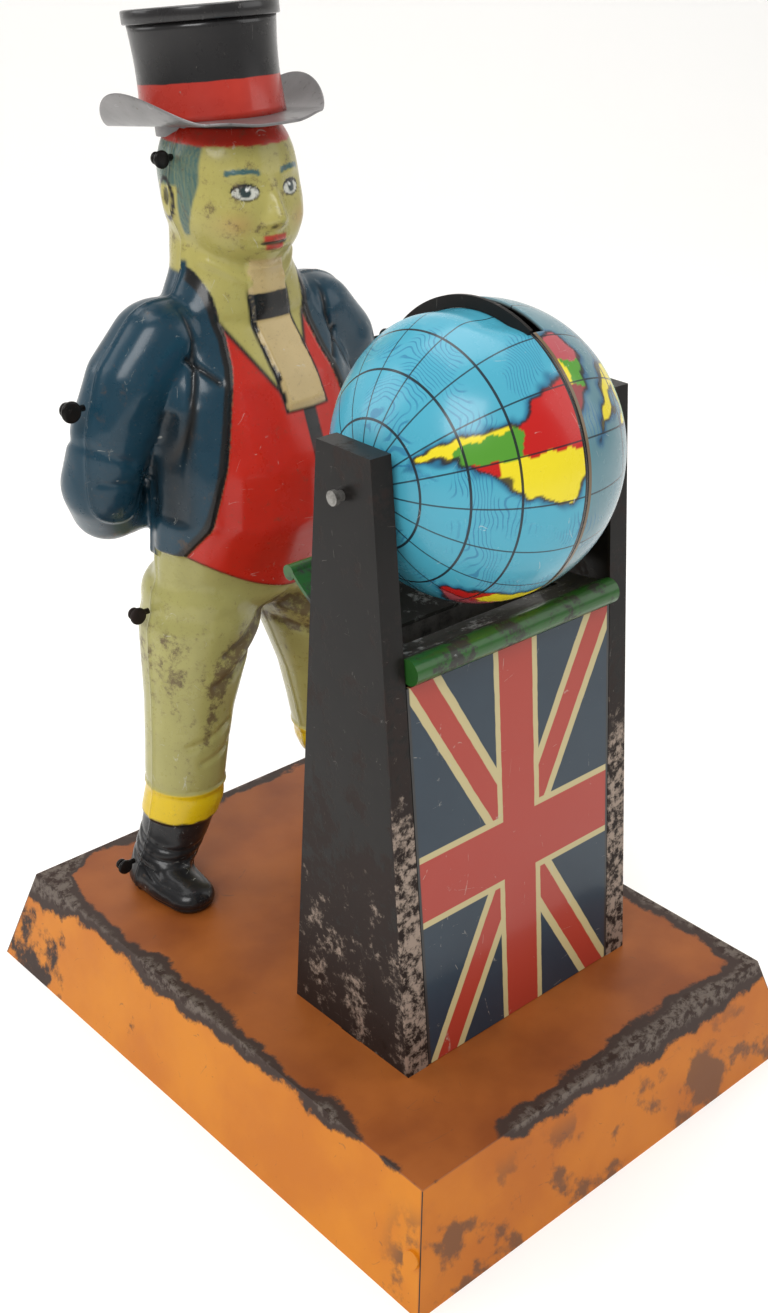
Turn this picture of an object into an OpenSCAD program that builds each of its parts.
// Tinplate mechanical bank: a gentleman stands behind a turning globe that
// hangs between two pylons on a hollow tray base.
// Units are millimetres. The origin is the middle of the base's underside,
// +Z is up, and the flag panel faces -Y.

/* [Base] */
// Width of the base at the floor (X)
base_w = 92.4; // [86:0.2:100]
// Depth of the base at the floor (Y)
base_d = 119.4; // [112:0.2:126]
// Height of the base
base_h = 18.9; // [17:0.1:22]
// How far each side leans in between the floor and the top
base_lean = 5.8; // [3:0.1:7]
// Thickness of the tinplate
tin = 0.6; // [0.5:0.05:0.8]

/* [Pylons] */
// Outer face to middle of the bank, at the foot
pylon_foot_x = 25.9; // [24.5:0.1:28]
// Outer face to middle of the bank, at the top
pylon_top_x = 25.1; // [24.5:0.1:27]
// Height of the pylons' tops above the floor
pylon_top_z = 118; // [116.5:0.5:122]
// Depth of a pylon's side at the foot
pylon_foot_d = 28.3; // [25:0.1:32]
// Depth of a pylon's side at the top
pylon_top_d = 10.9; // [9:0.1:13]
// Width of the front and back flanges
flange_w = 4.4; // [3.5:0.1:5]

/* [Globe] */
// Outer radius of the globe
globe_r = 21.1; // [20:0.1:21.3]
// Height of the axle above the floor
axle_z = 111.6; // [111:0.1:112.5]
// Distance of the axle in front of the middle of the base
axle_y = 19.8; // [19:0.1:20.5]
// Radius of the axle
axle_r = 0.75; // [0.6:0.05:1.1]
// How far the coin slot's raised lip stands out of the globe
lip_h = 0.6; // [0.4:0.1:0.8]
// Half the angle that the coin slot spans
slot_half = 38; // [34:1:42]

/* [Figure] */
// Distance of the figure's seam behind the middle of the base
seam_y = 36; // [35:0.5:38]
// Height of the hat's crown above its brim
crown_h = 15.9; // [15:0.1:16.5]
// Radius of the hat's crown at its top
crown_r = 11.3; // [11:0.1:11.6]
// How far the hat leans back
hat_nod = 6.5; // [3:0.5:8]
// Radius of the hat's brim
brim_r = 17; // [16:0.1:17.5]

/* [Coin door] */
// Width of the coin door
door_w = 42; // [36:1:46]
// Depth of the coin door
door_d = 36; // [32:1:38]
// Widest angle of the coin door
door_open = 105; // [90:5:110]

/* [Hidden] */
fine = 96;
gap = 0.06;
run_gap = 0.05;
big = 400;

// Profile helpers
module prism_xz(points, depth) {
    rotate([90, 0, 0]) linear_extrude(depth, center = true) polygon(points);
}
module prism_yz(points, width) {
    rotate([90, 0, 90]) linear_extrude(width, center = true) polygon(points);
}
module at_globe() {
    translate([0, -axle_y, axle_z]) children();
}
function arc(r, a0, a1, n) =
    [for (i = [0:n]) let(a = a0 + (a1 - a0) * i / n) [r * cos(a), r * sin(a)]];

// ---------------------------------------------------------------- base tray
plate_t = 0.6;
plate_in = 0.35;
chute_y = -axle_y;
chute_w = 34;
chute_d = 7.2;
function frustum_side(half, lean, h) = [[-half, 0], [half, 0], [half - lean, h], [-half + lean, h]];
module frustum(inset, h) {
    lean = base_lean * h / base_h;
    intersection() {
        prism_xz(frustum_side(base_w / 2 - inset, lean, h), big);
        prism_yz(frustum_side(base_d / 2 - inset, lean, h), big);
    }
}
tab_hole_w = 4.4;
corner_tab_r = 1.5;
corner_tab_at = 0.42;
module base_corner_tabs() {
    // round-ended tabs that close the two front corners
    side_lean = atan(base_lean / base_h);
    for (s = [-1, 1])
        translate([s * (base_w / 2 - base_lean * corner_tab_at), -base_d / 2 + 4.2, base_h * corner_tab_at])
            rotate([0, 90 - s * side_lean, 0])
                cylinder(h = 1, r = corner_tab_r, center = true, $fn = 32);
}
module base_tray() {
    color("darkorange") difference() {
        union() {
            frustum(0, base_h);
            base_corner_tabs();
        }
        translate([0, 0, -gap]) frustum(tin, base_h - tin + gap);
        chute_hole();
        pylon_slots();
        boot_slots();
    }
}
module chute_hole() {
    translate([0, chute_y, base_h]) cube([chute_w + 0.4, chute_d + 0.4, 4], center = true);
}
module pylon_slots() {
    for (s = [-1, 1])
        translate([s * (pylon_foot_x - tin / 2), pylon_foot_y, base_h])
            cube([tin + 0.3, tab_hole_w + 0.4, 4], center = true);
}
module boot_slots() {
    for (s = [-1, 1])
        translate([s * foot_x, seam_y - 3, base_h])
            cube([tin + 0.3, tab_hole_w + 0.4, 4], center = true);
}

// --------------------------------------------------------------- base plate
door_y = 22;
door_gap = 0.4;
hinge_y = door_y - door_d / 2;
hinge_z = 1.3;
hinge_pin_r = 0.5;
knuckle_r = 1.1;
ear_x = door_w / 2 + 1.5;
module plate_outline(inset) {
    square([base_w - 2 * (tin + inset), base_d - 2 * (tin + inset)], center = true);
}
module base_plate() {
    color("dimgray") union() {
        difference() {
            linear_extrude(plate_t) plate_outline(plate_in);
            translate([-door_w / 2 - door_gap, hinge_y - 2, -1])
                cube([door_w + 2 * door_gap, door_d + 2 + door_gap, 5]);
        }
        for (s = [-1, 1]) hinge_ear(s * ear_x);
    }
}
module hinge_ear(x) {
    difference() {
        translate([x - 0.8, hinge_y - 1.6, 0.1]) cube([1.6, 3.2, hinge_z + 1.1]);
        translate([x, hinge_y, hinge_z]) rotate([0, 90, 0])
            cylinder(h = 5, r = hinge_pin_r, center = true, $fn = 48);
    }
}

// ---------------------------------------------------------------- coin door
lock_r = 3;
lock_y = door_y + door_d / 2 - 6;
module coin_door() {
    color("dimgray") difference() {
        union() {
            translate([-door_w / 2, hinge_y + 0.25, 0]) cube([door_w, door_d - 0.25, plate_t]);
            for (x = [-14, 0, 14]) door_knuckle(x);
        }
        translate([0, lock_y, 0]) cylinder(h = 5, r = lock_r + gap, center = true, $fn = fine);
    }
}
module door_knuckle(x) {
    difference() {
        union() {
            translate([x - 2, hinge_y, hinge_z]) rotate([0, 90, 0])
                cylinder(h = 4, r = knuckle_r, $fn = 48);
            translate([x - 2, hinge_y + 0.25, plate_t / 2]) cube([4, 0.6, hinge_z - plate_t / 2]);
        }
        translate([x, hinge_y, hinge_z]) rotate([0, 90, 0])
            cylinder(h = 8, r = hinge_pin_r + run_gap, center = true, $fn = 48);
    }
}
module door_hinge_pin() {
    color("silver") translate([0, hinge_y, hinge_z]) rotate([0, 90, 0])
        cylinder(h = 2 * ear_x + 2, r = hinge_pin_r - 0.01, center = true, $fn = 48);
}
module lock_barrel() {
    color("silver") difference() {
        translate([0, lock_y, 0]) cylinder(h = 3.2, r = lock_r, $fn = fine);
        translate([0, lock_y, -1]) cylinder(h = 2.4, r = 0.8, $fn = 48);
        translate([-0.35, lock_y - 2.2, -1]) cube([0.7, 2.2, 2.4]);
        translate([0, lock_y, 2]) cylinder(h = 3, r = 1.2 + run_gap, $fn = 48);
    }
}
cam_z = 3.5;
module lock_cam() {
    color("silver") union() {
        translate([0, lock_y, 2.1]) cylinder(h = 2.4, r = 1.2, $fn = 48);
        translate([-2.4, lock_y - 2.4, cam_z]) cube([12.4, 4.8, 0.8]);
    }
}

// ------------------------------------------------------------------ pylons
pylon_foot_y = -20.7;
pylon_top_y = -axle_y - 0.3;
pylon_h = pylon_top_z - base_h;
pylon_lean = atan((pylon_foot_x - pylon_top_x) / pylon_h);
module pylon_solid(shrink_x, inset) {
    // tapered block that the folded channel wraps round; it leans in at the top
    foot = pylon_foot_d / 2 - inset;
    top = pylon_top_d / 2 - inset;
    intersection() {
        prism_yz([[pylon_foot_y - foot, base_h], [pylon_foot_y + foot, base_h],
                  [pylon_top_y + top, pylon_top_z - inset],
                  [pylon_top_y - top, pylon_top_z - inset]], big);
        prism_xz([[pylon_foot_x - flange_w - 9, base_h - 1], [pylon_foot_x - shrink_x, base_h - 1],
                  [pylon_foot_x - shrink_x, base_h], [pylon_top_x - shrink_x, pylon_top_z],
                  [pylon_top_x - flange_w - 9, pylon_top_z]], big);
        flange_limit(inset == 0 ? 0 : -big);
    }
}
module flange_limit(extra) {
    inner_x = pylon_foot_x - flange_w + extra;
    prism_xz([[inner_x, 0], [big, 0], [big, big], [inner_x, big]], big);
}
module pylon() {
    difference() {
        pylon_solid(0, 0);
        pylon_solid(tin, tin);
        at_globe() rotate([0, 90, 0]) cylinder(h = big, r = axle_r + run_gap, $fn = fine);
    }
    // foot tab through the base, bent flat under it
    translate([pylon_foot_x - tin, pylon_foot_y - tab_hole_w / 2, base_h - 2.4 * tin])
        cube([tin, tab_hole_w, 2.4 * tin + 0.3]);
    translate([pylon_foot_x - tin - 3, pylon_foot_y - tab_hole_w / 2, base_h - 2.4 * tin])
        cube([3 + tin / 2, tab_hole_w, tin]);
}
module pylon_left() {
    color("#1c1b1a") mirror([1, 0, 0]) pylon();
}
module pylon_right() {
    color("#1c1b1a") pylon();
}

// ------------------------------------------------------- panel and cradle
cradle_r = 24;
panel_top_z = 85.1;
front_slope = ((pylon_foot_y - pylon_foot_d / 2) - (pylon_top_y - pylon_top_d / 2)) / pylon_h;
panel_lean = atan(-front_slope);
panel_foot_y = pylon_foot_y - pylon_foot_d / 2;
panel_len = (panel_top_z - base_h) / cos(panel_lean) - 0.4;
panel_half = pylon_foot_x - flange_w - 0.15;
module front_panel() {
    color("midnightblue") translate([0, panel_foot_y, base_h + gap]) rotate([-panel_lean, 0, 0])
        translate([0, tin, 0]) rotate([90, 0, 0]) linear_extrude(tin)
            polygon([[-panel_half, 0.1], [panel_half, 0.1],
                     [panel_half, panel_len], [-panel_half, panel_len]]);
}
cradle_half = 21.1;
front_a = -110.3;
back_a = -46;
module globe_cradle() {
    color("darkgreen") at_globe() difference() {
        union() {
            rotate([90, 0, 90]) linear_extrude(2 * cradle_half, center = true)
                polygon(concat(arc(cradle_r, front_a, back_a, 24),
                               arc(cradle_r + tin, back_a, front_a, 24)));
            cradle_lip(front_a, 2);
            cradle_lip(back_a, 1.2);
        }
        translate([0, 0, -cradle_r]) cube([chute_w - 2, chute_d - 2, 6], center = true);
    }
}
module cradle_lip(a, r) {
    // rolled edge of the cradle
    mid_r = cradle_r + r - 0.15;
    rotate([90, 0, 90]) translate([mid_r * cos(a), mid_r * sin(a)])
        linear_extrude(2 * cradle_half, center = true) circle(r = r, $fn = 48);
}
chute_top = axle_z - cradle_r;
chute_low = base_h - 3;
module coin_chute() {
    color("#5a5c58") translate([0, chute_y, 0]) difference() {
        translate([-chute_w / 2, -chute_d / 2, chute_low]) cube([chute_w, chute_d, chute_top - chute_low]);
        translate([-chute_w / 2 + tin, -chute_d / 2 + tin, chute_low - 1])
            cube([chute_w - 2 * tin, chute_d - 2 * tin, big]);
        // the top edge follows the cradle's underside
        translate([0, 0, axle_z]) rotate([0, 90, 0])
            cylinder(h = big, r = cradle_r + tin + 0.15, center = true, $fn = fine);
    }
}

// ------------------------------------------------------------------- globe
globe_t = 0.6;
slot_w = 2.6;
slot_mid = 101;
module ring_sector(r0, r1, a0, a1) {
    polygon(concat(arc(r0, a0, a1, 36), arc(r1, a1, a0, 36)));
}
module globe_shell() {
    difference() {
        rotate([0, 90, 0]) sphere(r = globe_r, $fn = fine);
        rotate([0, 90, 0]) sphere(r = globe_r - globe_t, $fn = fine);
        rotate([0, 90, 0]) cylinder(h = big, r = axle_r + run_gap, center = true, $fn = fine);
    }
}
module slot_frame() {
    // turns a flat sector, drawn about +X, up to the slot's place on the seam
    rotate([90 - slot_mid, 0, 0]) rotate([0, -90, 0]) mirror([0, 0, 1]) children();
}
module coin_slot() {
    // the slot follows the seam, on the right half's edge
    reach = globe_r + 12;
    near = globe_r - 8;
    slot_frame() translate([0, 0, -1]) linear_extrude(slot_w + 1)
        polygon([[near * cos(slot_half), -near * sin(slot_half)],
                 [reach * cos(slot_half), -reach * sin(slot_half)],
                 [reach * cos(slot_half), reach * sin(slot_half)],
                 [near * cos(slot_half), near * sin(slot_half)]]);
}
module globe_left_half() {
    color("deepskyblue") at_globe() difference() {
        intersection() {
            globe_shell();
            translate([-big - gap / 2, -big / 2, -big / 2]) cube(big);
        }
        lip_seat();
    }
}
module globe_right_half() {
    color("deepskyblue") at_globe() difference() {
        intersection() {
            globe_shell();
            translate([gap / 2, -big / 2, -big / 2]) cube(big);
        }
        coin_slot();
    }
}
lip_depth = 1.1;
lip_x = 0.9;
module lip_seat() {
    // notch in the left half's edge that the raised lip fills
    seat_r = globe_r - lip_depth - gap;
    slot_frame() translate([0, 0, -lip_x - gap / 2]) linear_extrude(lip_x + gap)
        ring_sector(seat_r, globe_r + 1, -slot_half - 0.15, slot_half + 0.15);
}
module slot_lip() {
    color("#2a2724") at_globe() slot_frame() translate([0, 0, -lip_x]) linear_extrude(tin)
        ring_sector(globe_r - lip_depth, globe_r + lip_h, -slot_half, slot_half);
}
head_r = axle_r + 0.3;
axle_half = pylon_foot_x + 0.1;
module globe_axle() {
    color("silver") at_globe() rotate([0, 90, 0]) union() {
        cylinder(h = 2 * axle_half + 1.4, r = axle_r, center = true, $fn = fine);
        for (s = [-1, 1]) translate([0, 0, s * (axle_half + 0.55)])
            cylinder(h = 0.7, r = head_r, center = true, $fn = fine);
    }
}

// ------------------------------------------------------------------ figure
shell_t = 0.7;
foot_x = 25;
ball_fn = 22;
// An ellipsoid at a point, with its half-sizes drawn in by the shell's wall
module blob(at, size, wall) {
    translate(at) scale([size[0] - wall, size[1] - wall, size[2] - wall]) sphere(r = 1, $fn = ball_fn);
}
module limb(a, ra, b, rb, wall) {
    hull() {
        blob(a, [ra, ra, ra], wall);
        blob(b, [rb, rb, rb], wall);
    }
}
module head_form(wall) {
    blob([0, 0, 139.5], [11.2, 11.2, 12], wall);
    limb([0, 0.5, 133], 9, [0, 0, 124], 9.5, wall);
    blob([0, -10.6, 137], [1.9, 2.2, 2.2], wall);
}
module torso_form(wall) {
    hull() {
        blob([0, 0, 117.5], [18, 9.5, 9], wall);
        blob([0, -4.5, 95], [21, 14.5, 17], wall);
        blob([0, 0, 82], [20.5, 12, 9], wall);
    }
}
module arm_form(s, wall) {
    hull() {
        blob([s * 16.5, 1, 117.5], [8, 7, 7.5], wall);
        blob([s * 23.6, 1.5, 108], [6.6, 6.6, 7], wall);
        blob([s * 26.2, 4.5, 95.5], [6.4, 6.4, 6.5], wall);
        blob([s * 11, 9.5, 89], [6.5, 5, 5.5], wall);
    }
}
module leg_form(s, wall) {
    hull() {
        blob([s * 11, 0, 76], [11.3, 11.4, 10], wall);
        blob([s * 15.4, 0, 50], [7.1, 7.6, 6], wall);
        blob([s * 17.6, 0, 37], [6.8, 7.4, 3], wall);
    }
}
module boot_form(s, wall) {
    hull() {
        blob([s * 17.6, 0, 38], [6.5, 7, 3], wall);
        blob([s * 24.5, 0, base_h + 7], [5.2, 5.4, 6], wall);
        blob([s * foot_x, 0.4, base_h + 3.4], [5.4, 5.4, 4.4], wall);
        blob([s * (foot_x - 0.4), -9.4, base_h + 2.6], [4.4, 4.2, 3.6], wall);
    }
}
module figure_form(wall) {
    head_form(wall);
    torso_form(wall);
    for (s = [-1, 1]) {
        arm_form(s, wall);
        leg_form(s, wall);
        boot_form(s, wall);
    }
}
module figure_shell(side) {
    near_y = seam_y + (side > 0 ? gap / 2 : -big - gap / 2);
    intersection() {
        translate([0, seam_y, 0]) difference() {
            figure_form(0);
            figure_form(shell_t);
        }
        translate([-big / 2, near_y, base_h + gap]) cube(big);
        below_hat();
    }
}
module figure_front_shell() {
    color("firebrick") figure_shell(-1);
}
module figure_back_shell() {
    color("darkslategray") figure_shell(1);
}
stub_r = 0.9;
tab_t = 2.2;
module round_tab(x, z, s, r) {
    // disc-ended tab that folds over the seam
    translate([s * (x + 0.5), seam_y, z]) rotate([0, 90, 0])
        cylinder(h = 1, r = stub_r, center = true, $fn = 32);
    translate([s * (x + 0.25 + r), seam_y, z]) rotate([90, 0, 0])
        cylinder(h = tab_t, r = r, center = true, $fn = 32);
}
module head_tab() {
    color("#3a3d3a") round_tab(11.1, 144.2, -1, 1.3);
}
module arm_tabs() {
    color("#3a4a50") for (s = [-1, 1]) round_tab(30.4, 110.5, s, 1.7);
}
module leg_tabs() {
    color("#5a4436") for (s = [-1, 1]) round_tab(22.4, 74, s, 1.5);
}
module boot_tabs() {
    color("#1c1b1a") for (s = [-1, 1]) round_tab(30.35, base_h + 7.4, s, 1.4);
}

// --------------------------------------------------------------------- hat
hat_base_z = 147.9;
hat_back = 3.1;
hat_roll = 1;
pin_drop = 1.3;
module hat_place() {
    translate([0, seam_y + hat_back, hat_base_z]) rotate([-hat_nod, -hat_roll, 0]) children();
}
module below_hat() {
    // everything under the hat's plug, a hair below its lower face
    hat_place() translate([-big / 2, -big / 2, -big - pin_drop - 0.12]) cube(big);
}
module hat_crown() {
    color("#151413") hat_place() rotate_extrude($fn = fine)
        polygon([[crown_r - 0.6, 0.7], [crown_r - 0.1, 0.7], [crown_r - 0.35, crown_h * 0.5],
                 [crown_r, crown_h - 1.2], [crown_r - 0.6, crown_h - 1.2], [crown_r - 0.95, crown_h * 0.5]]);
}
module hat_top_disc() {
    color("#151413") hat_place() translate([0, 0, crown_h - 1.14]) rotate_extrude($fn = fine)
        polygon([[0, 0], [crown_r + 0.3, 0], [crown_r + 0.3, 0.9],
                 [crown_r - 0.5, 0.9], [crown_r - 0.8, 0.5], [0, 0.5]]);
}
module hat_brim() {
    color("#77767a") hat_place() intersection() {
        rotate([0, 0, 90]) difference() {
            cylinder(h = 8, r = brim_r, $fn = fine);
            translate([0, 0, -0.1]) cylinder(h = 9, r = 9.4, $fn = fine);
        }
        prism_xz(concat([for (x = [-18:1:18]) [x, brim_curl(x)]],
                        [for (x = [18:-1:-18]) [x, brim_curl(x) + 0.55]]), big);
    }
}
function brim_curl(x) = abs(x) < 11 ? 0 : 4.6 * pow((abs(x) - 11) / 6, 1.6);
module hat_pin() {
    // stub that rivets the brim and crown to the head
    color("#77767a") hat_place() translate([0, 0, -pin_drop])
        cylinder(h = pin_drop + 0.5, r = 9.1, $fn = 48);
}

base_tray();
base_plate();
coin_door();
door_hinge_pin();
lock_barrel();
lock_cam();
pylon_left();
pylon_right();
front_panel();
globe_cradle();
coin_chute();
globe_left_half();
globe_right_half();
slot_lip();
globe_axle();
figure_front_shell();
figure_back_shell();
head_tab();
arm_tabs();
leg_tabs();
boot_tabs();
hat_crown();
hat_top_disc();
hat_brim();
hat_pin();
